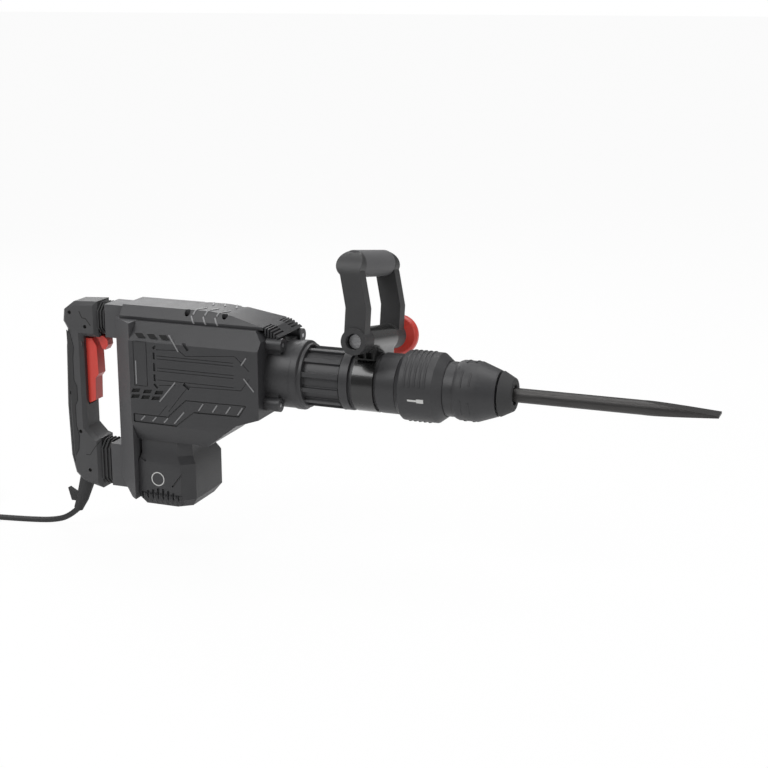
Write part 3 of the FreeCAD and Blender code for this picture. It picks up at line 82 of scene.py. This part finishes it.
def shader(name, color, rough, metallic=0.0, mottle=0.12, grain=0.0, grain_scale=1500.0, coat=0.0, streak=1.0):
    """A Principled material: mottled colour, uneven roughness, and a fine moulded or ground grain."""
    made = bpy.data.materials.new(name)
    made.use_nodes = True
    nodes, links = made.node_tree.nodes, made.node_tree.links
    surface = nodes["Principled BSDF"]
    surface.inputs["Metallic"].default_value = metallic
    surface.inputs["Coat Weight"].default_value = coat
    surface.inputs["Coat Roughness"].default_value = 0.08
    place = nodes.new("ShaderNodeTexCoord")
    stretch = nodes.new("ShaderNodeMapping")
    stretch.inputs["Scale"].default_value = (1.0, streak, streak)
    links.new(place.outputs["Object"], stretch.inputs["Vector"])
    cloud = nodes.new("ShaderNodeTexNoise")
    cloud.inputs["Scale"].default_value = 38.0
    cloud.inputs["Detail"].default_value = 5.0
    links.new(stretch.outputs["Vector"], cloud.inputs["Vector"])
    tint = nodes.new("ShaderNodeMix")
    tint.data_type = "RGBA"
    tint.inputs["A"].default_value = (*[c * (1 - mottle) for c in color], 1)
    tint.inputs["B"].default_value = (*[min(1, c * (1 + mottle) + 0.004) for c in color], 1)
    links.new(cloud.outputs["Fac"], tint.inputs["Factor"])
    links.new(tint.outputs["Result"], surface.inputs["Base Color"])
    spread = nodes.new("ShaderNodeMapRange")
    spread.inputs["To Min"].default_value = max(0.03, rough - 0.07)
    spread.inputs["To Max"].default_value = min(1.0, rough + 0.07)
    links.new(cloud.outputs["Fac"], spread.inputs["Value"])
    links.new(spread.outputs["Result"], surface.inputs["Roughness"])
    if grain:
        fine = nodes.new("ShaderNodeTexNoise")
        fine.inputs["Scale"].default_value = grain_scale
        fine.inputs["Detail"].default_value = 2.0
        links.new(stretch.outputs["Vector"], fine.inputs["Vector"])
        bump = nodes.new("ShaderNodeBump")
        bump.inputs["Strength"].default_value = grain
        bump.inputs["Distance"].default_value = 0.0004
        links.new(fine.outputs["Fac"], bump.inputs["Height"])
        links.new(bump.outputs["Normal"], surface.inputs["Normal"])
    return made


LOOKS = {
    "shell": shader("moulded_shell", (0.026, 0.026, 0.028), 0.42, grain=0.35),
    "handle": shader("moulded_handle", (0.050, 0.050, 0.052), 0.50, grain=0.35),
    "rubber": shader("soft_rubber", (0.030, 0.030, 0.031), 0.74, grain=0.5, grain_scale=900),
    "band": shader("gloss_band", (0.005, 0.005, 0.005), 0.26, coat=0.35, mottle=0.05),
    "casting": shader("cast_housing", (0.034, 0.034, 0.036), 0.44, metallic=0.2, grain=0.5, grain_scale=700),
    "chuck": shader("chuck_plastic", (0.026, 0.026, 0.028), 0.50, grain=0.35),
    "dark_steel": shader("forged_steel", (0.060, 0.058, 0.057), 0.40, metallic=0.9, mottle=0.3, grain=0.3, streak=9),
    "steel": shader("ground_steel", (0.42, 0.42, 0.43), 0.28, metallic=1.0, grain=0.2, streak=12),
    "copper": shader("copper_parts", (0.70, 0.36, 0.20), 0.32, metallic=1.0, grain=0.2),
    "carbon": shader("black_inside", (0.012, 0.012, 0.012), 0.65, grain=0.3),
    "red": shader("red_plastic", (0.62, 0.050, 0.035), 0.36, mottle=0.07, grain=0.15),
    "cord": shader("cord_jacket", (0.022, 0.022, 0.023), 0.55, grain=0.3),
    "fan": shader("fan_plastic", (0.28, 0.28, 0.29), 0.5, grain=0.3),
}
PALE = shader("pale_trim", (0.20, 0.20, 0.205), 0.40, grain=0.2)
# Near-black: painted shade at the bottom of the vent recesses, and the dark seam lines on the handle.
SHADE_AND_SEAM_DARK = shader("painted_vent_shade_and_seam", (0.006, 0.006, 0.006), 0.75)
SPINE = shader("spine_plastic", (0.062, 0.062, 0.065), 0.50, grain=0.35)
ICON = shader("printed_mark", (0.55, 0.55, 0.54), 0.5)
SLEEVE_GREY = shader("grip_grey", (0.095, 0.095, 0.098), 0.62, grain=0.4)
LOOP_BLACK = shader("loop_plastic", (0.024, 0.024, 0.025), 0.50, grain=0.35)


# Mesh helpers. Shapes are written in millimetres.


def prism(outline, plane, low, high):
    """An outline in plane XZ, XY or YZ, drawn out between low and high along the third axis."""
    third = {"XZ": 1, "XY": 2, "YZ": 0}[plane]
    points = []
    for level in (low, high):
        for a, b in outline:
            point = [a, b]
            point.insert(third, level)
            points.append(tuple(point))
    count = len(outline)
    faces = [tuple(range(count)), tuple(range(2 * count - 1, count - 1, -1))]
    faces += [(i, (i + 1) % count, (i + 1) % count + count, i + count) for i in range(count)]
    return points, faces


def lathe(profile, turns=96):
    """A closed profile of (x, radius) points, revolved about the tool axis."""
    points = [
        (x, radius * math.cos(math.tau * i / turns), radius * math.sin(math.tau * i / turns))
        for i in range(turns)
        for x, radius in profile
    ]
    count = len(profile)
    faces = []
    for i in range(turns):
        here, there = i * count, (i + 1) % turns * count
        for j in range(count):
            k = (j + 1) % count
            faces.append((here + j, here + k, there + k, there + j))
    return points, faces


def strip(start, end, width):
    """The four corners of a straight strip in a plane."""
    along = (Vector(end) - Vector(start)).normalized()
    side = Vector((-along.y, along.x)) * width / 2
    return [tuple(Vector(start) - side), tuple(Vector(end) - side), tuple(Vector(end) + side), tuple(Vector(start) + side)]


def joined(parts):
    points, faces = [], []
    for more_points, more_faces in parts:
        base = len(points)
        points += more_points
        faces += [tuple(i + base for i in f) for f in more_faces]
    return points, faces


def mesh_object(name, shape):
    points, faces = shape
    mesh = bpy.data.meshes.new(name)
    mesh.from_pydata([tuple(c * MM for c in p) for p in points], [], faces)
    soft = bmesh.new()
    soft.from_mesh(mesh)
    bmesh.ops.recalc_face_normals(soft, faces=soft.faces)
    soft.to_mesh(mesh)
    soft.free()
    made = bpy.data.objects.new(name, mesh)
    bpy.context.scene.collection.objects.link(made)
    return made


def dress(piece, body, slot, look, bevel=0.0, segments=2, sharp=32):
    """Shading by angle, a bevel, the material and the body it rides on; the slot is not used."""
    mesh = piece.data
    mesh.materials.clear()
    mesh.materials.append(look)
    work = bmesh.new()
    work.from_mesh(mesh)
    for face in work.faces:
        face.smooth = True
    for edge in work.edges:
        turned = len(edge.link_faces) == 2 and edge.calc_face_angle(0) > math.radians(sharp)
        edge.smooth = not turned
    work.to_mesh(mesh)
    work.free()
    if bevel:
        rounding = piece.modifiers.new("edges", "BEVEL")
        rounding.width = bevel * MM
        rounding.segments = segments
        rounding.limit_method = "ANGLE"
        rounding.angle_limit = math.radians(sharp)
        rounding.harden_normals = True
    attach(piece, body)
    return piece


def add(name, shape, body, slot, look=None, bevel=0.0, **more):
    return dress(mesh_object(name, shape), body, slot, look or LOOKS[slot], bevel, **more)


def skin(node, bevel=0.8, cutters=(), look=None, sharp=32, segments=2):
    """A finished copy of a CAD node: cut by the cutters, with soft edges and its material."""
    source = frame["nodes"][node]
    copy = bpy.data.objects.new(node + "_skin", source.data.copy())
    bpy.context.scene.collection.objects.link(copy)
    work = bmesh.new()
    work.from_mesh(copy.data)
    bmesh.ops.remove_doubles(work, verts=work.verts, dist=2e-6)
    bmesh.ops.dissolve_limit(work, angle_limit=math.radians(0.6), verts=work.verts, edges=work.edges)
    work.to_mesh(copy.data)
    work.free()
    if cutters:
        tool = mesh_object(node + "_cutters", joined(cutters))
        cut = copy.modifiers.new("cut", "BOOLEAN")
        cut.solver = "EXACT"
        cut.use_self = True
        cut.operation = "DIFFERENCE"
        cut.object = tool
        shown = copy.evaluated_get(bpy.context.evaluated_depsgraph_get())
        copy.data = bpy.data.meshes.new_from_object(shown)
        copy.modifiers.clear()
        bpy.data.objects.remove(tool)
    dress(copy, NODE_BODY[node], NODE_SLOT[node], look or LOOKS[NODE_SLOT[node]], bevel, segments, sharp)
    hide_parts(node)
    return copy


trees = {}


def surface_of(node):
    if node not in trees:
        mesh = frame["nodes"][node].data
        trees[node] = BVHTree.FromPolygons([v.co.copy() for v in mesh.vertices], [p.vertices for p in mesh.polygons])
    return trees[node]


def ribbon(path, toward, node, width, height, arched=False, step=2.0, sink=0.5):
    """A raised strip that follows a node's surface under a path, looking along toward."""
    if not callable(toward):
        fixed = Vector(toward).normalized()
        toward = lambda p: fixed
    stations = []
    for start, end in zip(path, path[1:]):
        start, end = Vector(start), Vector(end)
        parts = max(1, int((end - start).length / step))
        stations += [start.lerp(end, i / parts) for i in range(parts)]
    stations.append(Vector(path[-1]))
    spots = []
    for p in stations:
        way = toward(p)
        hit, normal, _, _ = surface_of(node).ray_cast((p - way * 60) * MM, way)
        if hit:
            spots.append((hit / MM, normal if normal.dot(way) < 0 else -normal))
    section = [(-0.5, -sink), (-0.5, height), (0.5, height), (0.5, -sink)]
    if arched:
        section = [(-0.5, -sink), (-0.46, 0.45 * height), (-0.25, 0.87 * height), (0, height)]
        section += [(-a, b) for a, b in reversed(section[:3])]
    points, faces = [], []
    for i, (spot, normal) in enumerate(spots):
        along = (spots[min(i + 1, len(spots) - 1)][0] - spots[max(i - 1, 0)][0]).normalized()
        side = along.cross(normal).normalized()
        points += [tuple(spot + side * a * width + normal * b) for a, b in section]
    count = len(section)
    for i in range(len(spots) - 1):
        for j in range(count):
            k = (j + 1) % count
            faces.append((i * count + j, i * count + k, (i + 1) * count + k, (i + 1) * count + j))
    if len(spots) > 1:
        last = (len(spots) - 1) * count
        faces += [tuple(range(count)), tuple(last + j for j in reversed(range(count)))]
    return points, faces


# Mains lead: the cord, its coil and its plug.

FLOOR = -254
CORD = 4.0
ROUTE = [
    (-632, 0, -226),
    (-648, 0, -241),
    (-674, -2, -248.5),
    (-704, -7, -250),
    (-740, -14, -250),
    (-780, -20.5, -250),
    (-816.7, -24, -250),
]
COIL_CENTRE = Vector((-862, 20))
COIL_OUT, COIL_IN = 58.0, 30.0
COIL_LAYERS = 4
TURN_POINTS = 20
WOUND = 14 + 30 / 360
ENTRY = math.radians(-60)
PLUG_SPOT = (-895, -36, -239)


def coil_points():
    """Flat spirals, in and out by turns, one layer on the next."""
    points = []
    total = round(WOUND * TURN_POINTS)
    for i in range(total + 1):
        share = i / total * COIL_LAYERS
        layer = min(int(share), COIL_LAYERS - 1)
        inward = share - layer
        if layer % 2:
            inward = 1 - inward
        radius = COIL_OUT + (COIL_IN - COIL_OUT) * inward
        rise = min(1, (share - layer) * 8) if layer else 1
        level = FLOOR + CORD + 2 * CORD * (layer - 1 + rise if layer else 0)
        angle = ENTRY - i * math.tau / TURN_POINTS
        points.append(
            (COIL_CENTRE.x + radius * math.cos(angle), COIL_CENTRE.y + radius * math.sin(angle), level)
        )
    return points


cord_line = ROUTE + coil_points()
cord_line += [(-868, -37.5, -232), (-880, -36, -237), PLUG_SPOT]
line = bpy.data.curves.new("mains_cord", "CURVE")
line.dimensions = "3D"
spline = line.splines.new("NURBS")
spline.points.add(len(cord_line) - 1)
for knot, place in zip(spline.points, cord_line):
    knot.co = (*[c * MM for c in place], 1)
spline.order_u = 3
spline.use_endpoint_u = True
spline.resolution_u = 6
line.bevel_depth = CORD * MM
line.bevel_resolution = 5
line.use_fill_caps = True
line.materials.append(LOOKS["cord"])
mains_cord = bpy.data.objects.new("mains_cord", line)
bpy.context.scene.collection.objects.link(mains_cord)
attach(mains_cord, "rear_handle")
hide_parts("power_cord", "cord_coil")
plug_skin = skin("plug_body", bevel=1.2)
pins_skin = skin("plug_pins", bevel=0.5)

# Side shells: vents, panel lines, the long stepped stripe and its pale bars.

HALF = 62
UPPER_VENTS = [[(x, 50.5), (x + 11, 51), (x + 15, 45.5), (x + 4, 45)] for x in (-494, -476.5, -459)]
LOWER_VENTS = [[(x, -24), (x + 11.5, -23), (x + 9, -28), (x - 2.5, -29)] for x in (-499, -482, -465)]
LOWER_VENTS += [[(x, -32), (x + 11.5, -31), (x + 9, -36), (x - 2.5, -37)] for x in (-500, -485, -470)]
STRIPE = [
    (-499, -58),
    (-449, -58),
    (-422, -33),
    (-336, -32),
    (-346, -47),
    (-411, -48),
    (-437, -69),
    (-499, -68.5),
]
PANEL_LINES = [((-462, z), (-352, z)) for z in (23, 19, 7, 3, -9)]
FRAME_LINES = [
    ((-496, 40), (-477, 40)),
    ((-477, 40), (-477, -19)),
    ((-496, 40), (-496, -19)),
    ((-496, -19), (-477, -19)),
    ((-448, -41), (-463, -58)),
    ((-420, -17), (-447, -50)),
    ((-462, 31), (-430, 33)),
    ((-430, 33), (-420, 26)),
    ((-420, 26), (-350, 32)),
    ((-460, -16), (-436, -14)),
    ((-416, -14), (-342, -12)),
    ((-342, -12), (-330, 4)),
    ((-350, 32), (-330, 14)),
]
DASHES = [((-466, z), (-466, z - long)) for z, long in ((27, 9), (13, 11), (-2, 9))]
DASHES += [((-463, 36), (-467, 32)), ((-467, -15), (-462, -20))]
DEEP_GROOVES = [((-434, 56), (-416, 34)), ((-424, -11), (-416, -17))]
BARS = [
    ((-443, 52), (-430, 31)),
    ((-436, -10), (-460, -38)),
    ((-493, 14), (-493, -17)),
    ((-334, 31), (-341, 21)),
    ((-338, 4), (-324, -12)),
    ((-440, -66), (-425, -49)),
]
BARS += [((x - 3, -66), (x + 3, -59.5)) for x in (-486, -469, -452)]
BARS += [((x - 4, -45), (x + 3, -35)) for x in (-400, -380, -361, -344)]
FIN_SLOTS = [(x - 1.1, x + 1.1) for x in (-321, -317, -313, -309, -305)]

for side, node in ((-1, "right_side_shell"), (1, "left_side_shell")):
    face = side * HALF
    cutters = [prism(v, "XZ", face - side * 2.4, face + side) for v in UPPER_VENTS + LOWER_VENTS]
    cutters.append(prism(STRIPE, "XZ", face - side * 1.1, face + side))
    outline = list(zip(STRIPE, STRIPE[1:] + STRIPE[:1]))
    cutters += [prism(strip(a, b, 1.4), "XZ", face - side * 2.2, face + side) for a, b in outline]
    cutters += [prism(strip(a, b, 4.0), "XZ", face - side * 2.4, face + side) for a, b in DEEP_GROOVES]
    cutters += [prism(strip(a, b, 0.9), "XZ", face - side * 0.8, face + side) for a, b in PANEL_LINES + FRAME_LINES]
    cutters += [prism(strip(a, b, 3.0), "XZ", face - side * 2.0, face + side) for a, b in DASHES]
    skin(node, bevel=0.45, cutters=cutters)
    hand = "right" if side < 0 else "left"
    bars = []
    for (ax, az), (bx, bz) in BARS:
        level = face - side * 1.1 if az < -30 and ax > -500 and abs(ax + 460) > 1.5 and (az, bz) != (-10, -38) else face
        bars.append(prism(strip((ax, az), (bx, bz), 1.7), "XZ", level - side * 0.4, level + side * 0.7))
    add(f"shell_bars_{hand}", joined(bars), "body", "shell", PALE, bevel=0.25)
    # A near-black sheet at the bottom of each vent recess: painted shade for the dark inside of the vents.
    back = [
        prism([(x, z) for x, z in v], "XZ", face - side * 2.3, face - side * 2.0) for v in UPPER_VENTS + LOWER_VENTS
    ]
    add(f"painted_vent_shade_{hand}", joined(back), "body", "carbon", SHADE_AND_SEAM_DARK)

# Top cover: fins at the front, pale chevrons across the top.

cover_cuts = [
    prism([(side * 12, 50), (side * 40, 50), (side * 40, 90), (side * 12, 90)], "YZ", low, high)
    for low, high in FIN_SLOTS
    for side in (-1, 1)
]
skin("top_cover", bevel=1.2, segments=3, cutters=cover_cuts)
chevrons = []
for side in (-1, 1):
    for x in (-424, -407, -390):
        chevrons.append(
            ribbon([(x + 9, side * 9, 79), (x, side * 30, 79)], (0, 0, -1), "top_cover", 2.2, 0.8)
        )
        chevrons.append(
            ribbon([(x - 2, side * 40, 72), (x + 8, side * 40, 58)], (0, -side, 0), "top_cover", 2.0, 0.8)
        )
add("cover_chevrons", joined([c for c in chevrons if c[1]]), "body", "shell", PALE, bevel=0.2)

# Everything else that shows and keeps its CAD shape.

for node in ("cover_screws", "housing_screws", "handle_screws"):
    skin(node, bevel=0.3)
skin("rear_cover", bevel=1.6, segments=3, look=SPINE)
skin("gear_housing", bevel=1.2, segments=3)
skin("barrel", bevel=0.7)
skin("nose_housing", bevel=0.8)
skin("mode_ring", bevel=1.0, segments=3)
skin("locking_sleeve", bevel=1.0, segments=3)
skin("dust_cap", bevel=1.0, segments=3)
skin("clamp_band", bevel=0.8)
skin("side_handle_loop", bevel=1.5, segments=3, look=LOOP_BLACK)
skin("side_grip_sleeve", bevel=0.8, look=SLEEVE_GREY)
skin("through_bolt", bevel=0.4)
skin("clamp_knob", bevel=1.0, segments=3)
skin("handle_right_shell", bevel=1.4, segments=3)
skin("handle_left_shell", bevel=1.4, segments=3)
skin("grip_pad", bevel=0.8)
skin("trigger", bevel=1.4, segments=3)
skin("trigger_lock", bevel=1.6, segments=3)
skin("strain_relief", bevel=0.8)
skin("flat_chisel", bevel=0.5)
for node in ("upper_bellows", "lower_bellows"):
    soft = skin(node, bevel=0.7)
    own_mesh(soft)

# Motor pot: triangular recess, slanted groove, upright ribs and a plain round badge.

GROOVES = 8
GROOVE_PITCH = 7.6
pot_cuts = []
for side in (-1, 1):
    pot_cuts.append(
        prism(
            [(-510, -92), (-484, -90), (-483, -108), (-492, -127), (-500, -122)],
            "XZ",
            side * 47.8,
            side * 60,
        )
    )
    pot_cuts.append(prism(strip((-453, -158), (-431, -131), 2.4), "XZ", side * 48.4, side * 60))
    for i in range(GROOVES):
        x = -497 + GROOVE_PITCH * i
        top = -161 - 2.2 * abs(i - (GROOVES - 1) / 2)
        pot_cuts.append(prism(strip((x, top), (x, -186), 3.6), "XZ", side * 47.6, side * 60))
skin("motor_pot", bevel=0.7, segments=3, cutters=pot_cuts)
badge = []
for side in (-1, 1):
    ring = [
        (-474 + 9 * math.cos(math.tau * k / 36), side * 60, -149 + 9 * math.sin(math.tau * k / 36)) for k in range(37)
    ]
    badge.append(ribbon(ring, (0, -side, 0), "motor_pot", 1.3, 0.35, step=4))
add("plain_badge_ring", joined([b for b in badge if b[1]]), "body", "shell", ICON)

# Mode ring and sleeve: ridges, pad and printed marks.


def inward(p):
    return Vector((0, -p.y, -p.z)).normalized()


def round_path(x, radius, first, last, slant=0.0, parts=40):
    """Points round the tool axis between two angles in degrees, measured from the near side upwards."""
    path = []
    for i in range(parts + 1):
        turn = math.radians(first + (last - first) * i / parts)
        path.append((x + slant * i / parts, -radius * math.cos(turn), radius * math.sin(turn)))
    return path


ridges = [
    ribbon(round_path(x, 44, start, start + 96, slant=-2), inward, "mode_ring", 3.0, 1.0, arched=True, step=3)
    for x in (-130, -123.5, -117, -110.5, -104)
    for start in (12, 192)
]
add("mode_ring_ridges", joined(ridges), "mode_ring", "chuck", bevel=0)
mark = [
    ribbon([(-104, -44, -8), (-113, -44, -8)], inward, "mode_ring", 5.0, 0.3),
    ribbon([(-113, -44, -8), (-125, -44, -8)], inward, "mode_ring", 2.4, 0.3),
]
add("mode_mark", joined(mark), "mode_ring", "chuck", ICON)
sleeve_bars = []
for start in (20, 80, 140, 200, 260, 320):
    sleeve_bars.append(
        ribbon(round_path(-60, 37, start, start + 34, parts=10), inward, "locking_sleeve", 2.4, 0.8, arched=True, step=3)
    )
    sleeve_bars.append(
        ribbon(round_path(-49, 37, start + 4, start + 30, parts=10), inward, "locking_sleeve", 2.4, 0.8, arched=True, step=3)
    )
add("sleeve_grips", joined(sleeve_bars), "locking_sleeve", "chuck", bevel=0)

# Rear handle: seam lines and chevron ribs of the rubber back.

seams = []
for side, node in ((-1, "handle_right_shell"), (1, "handle_left_shell")):
    look_in = (0, -side, 0)
    y = side * 30
    seams.append(ribbon([(-602, y, 63), (-598, y, 54), (-592, y, 53), (-585, y, 44)], look_in, node, 1.1, 0.15))
    seams.append(ribbon([(-581, y, -118), (-588, y, -127), (-596, y, -138), (-602, y, -138)], look_in, node, 0.9, 0.12))
add("handle_seams", joined([s for s in seams if s[1]]), "rear_handle", "handle", SHADE_AND_SEAM_DARK)
SIDE_PAD = [
    (-623, 36),
    (-617, 30),
    (-613, 12),
    (-615, -4),
    (-615, -34),
    (-611, -42),
    (-611, -62),
    (-615, -70),
    (-615, -98),
    (-611, -112),
    (-613, -132),
    (-619, -142),
]
side_pads = [prism(SIDE_PAD, "XZ", side * 19.4, side * 20.8) for side in (-1, 1)]
add("grip_side_pads", joined(side_pads), "rear_handle", "rubber", bevel=0.5)
chevron_ribs = []
for z, way in [(34 - 4.5 * i, -1) for i in range(4)] + [(-152 + 4.5 * i, 1) for i in range(4)]:
    path = [(-650, -11, z + way * 4), (-650, 0, z), (-650, 11, z + way * 4)]
    chevron_ribs.append(ribbon(path, (1, 0, 0), "grip_pad", 2.2, 0.9, arched=True))
add("grip_chevrons", joined([c for c in chevron_ribs if c[1]]), "rear_handle", "rubber", bevel=0)

# Remaining CAD nodes keep their shape and take the full material.

for name, node in frame["nodes"].items():
    if node.hide_render:
        continue
    node.data.materials.clear()
    node.data.materials.append(LOOKS[NODE_SLOT[name]])

# Floor, world and lamps.


def floor_shader():
    made = bpy.data.materials.new("floor_white")
    made.use_nodes = True
    nodes, links = made.node_tree.nodes, made.node_tree.links
    matte = nodes["Principled BSDF"]
    matte.inputs["Base Color"].default_value = (0.86, 0.86, 0.86, 1)
    matte.inputs["Roughness"].default_value = 0.9
    glow = nodes.new("ShaderNodeEmission")
    blend = nodes.new("ShaderNodeMixShader")
    path = nodes.new("ShaderNodeLightPath")
    share = nodes.new("ShaderNodeMath")
    share.operation = "MULTIPLY"
    share.inputs[1].default_value = 0.95
    links.new(path.outputs["Is Camera Ray"], share.inputs[0])
    links.new(share.outputs["Value"], blend.inputs["Fac"])
    links.new(matte.outputs["BSDF"], blend.inputs[1])
    links.new(glow.outputs["Emission"], blend.inputs[2])
    links.new(blend.outputs["Shader"], nodes["Material Output"].inputs["Surface"])
    return made


REACH = 40000
floor = mesh_object(
    "floor", ([(-REACH, -REACH, FLOOR - 0.2), (REACH, -REACH, FLOOR - 0.2), (REACH, REACH, FLOOR - 0.2), (-REACH, REACH, FLOOR - 0.2)], [(0, 1, 2, 3)])
)
floor.data.materials.append(floor_shader())

world = bpy.data.worlds.new("studio")
world.use_nodes = True
bpy.context.scene.world = world
w_nodes, w_links = world.node_tree.nodes, world.node_tree.links
back = w_nodes["Background"]
back.inputs["Color"].default_value = (1, 1, 1, 1)
w_path = w_nodes.new("ShaderNodeLightPath")
level = w_nodes.new("ShaderNodeMapRange")
level.inputs["To Min"].default_value = 0.28
level.inputs["To Max"].default_value = 1.0
w_links.new(w_path.outputs["Is Camera Ray"], level.inputs["Value"])
w_links.new(level.outputs["Result"], back.inputs["Strength"])


def lamp(name, place, aim, size, watts):
    data = bpy.data.lights.new(name, "AREA")
    data.size = size
    data.energy = watts
    made = bpy.data.objects.new(name, data)
    made.location = place
    made.rotation_euler = (Vector(aim) - Vector(place)).to_track_quat("-Z", "Y").to_euler()
    bpy.context.scene.collection.objects.link(made)


MIDDLE = (-0.25, 0, 0)
lamp("key", (-1.2, -1.6, 1.9), MIDDLE, 1.4, 34)
lamp("top", (0.1, 0.4, 2.2), MIDDLE, 1.8, 34)
lamp("front", (1.9, -0.9, 0.8), MIDDLE, 1.2, 9)
lamp("rim", (-1.6, 1.6, 1.2), MIDDLE, 1.2, 16)
bpy.context.scene.view_settings.view_transform = "Standard"
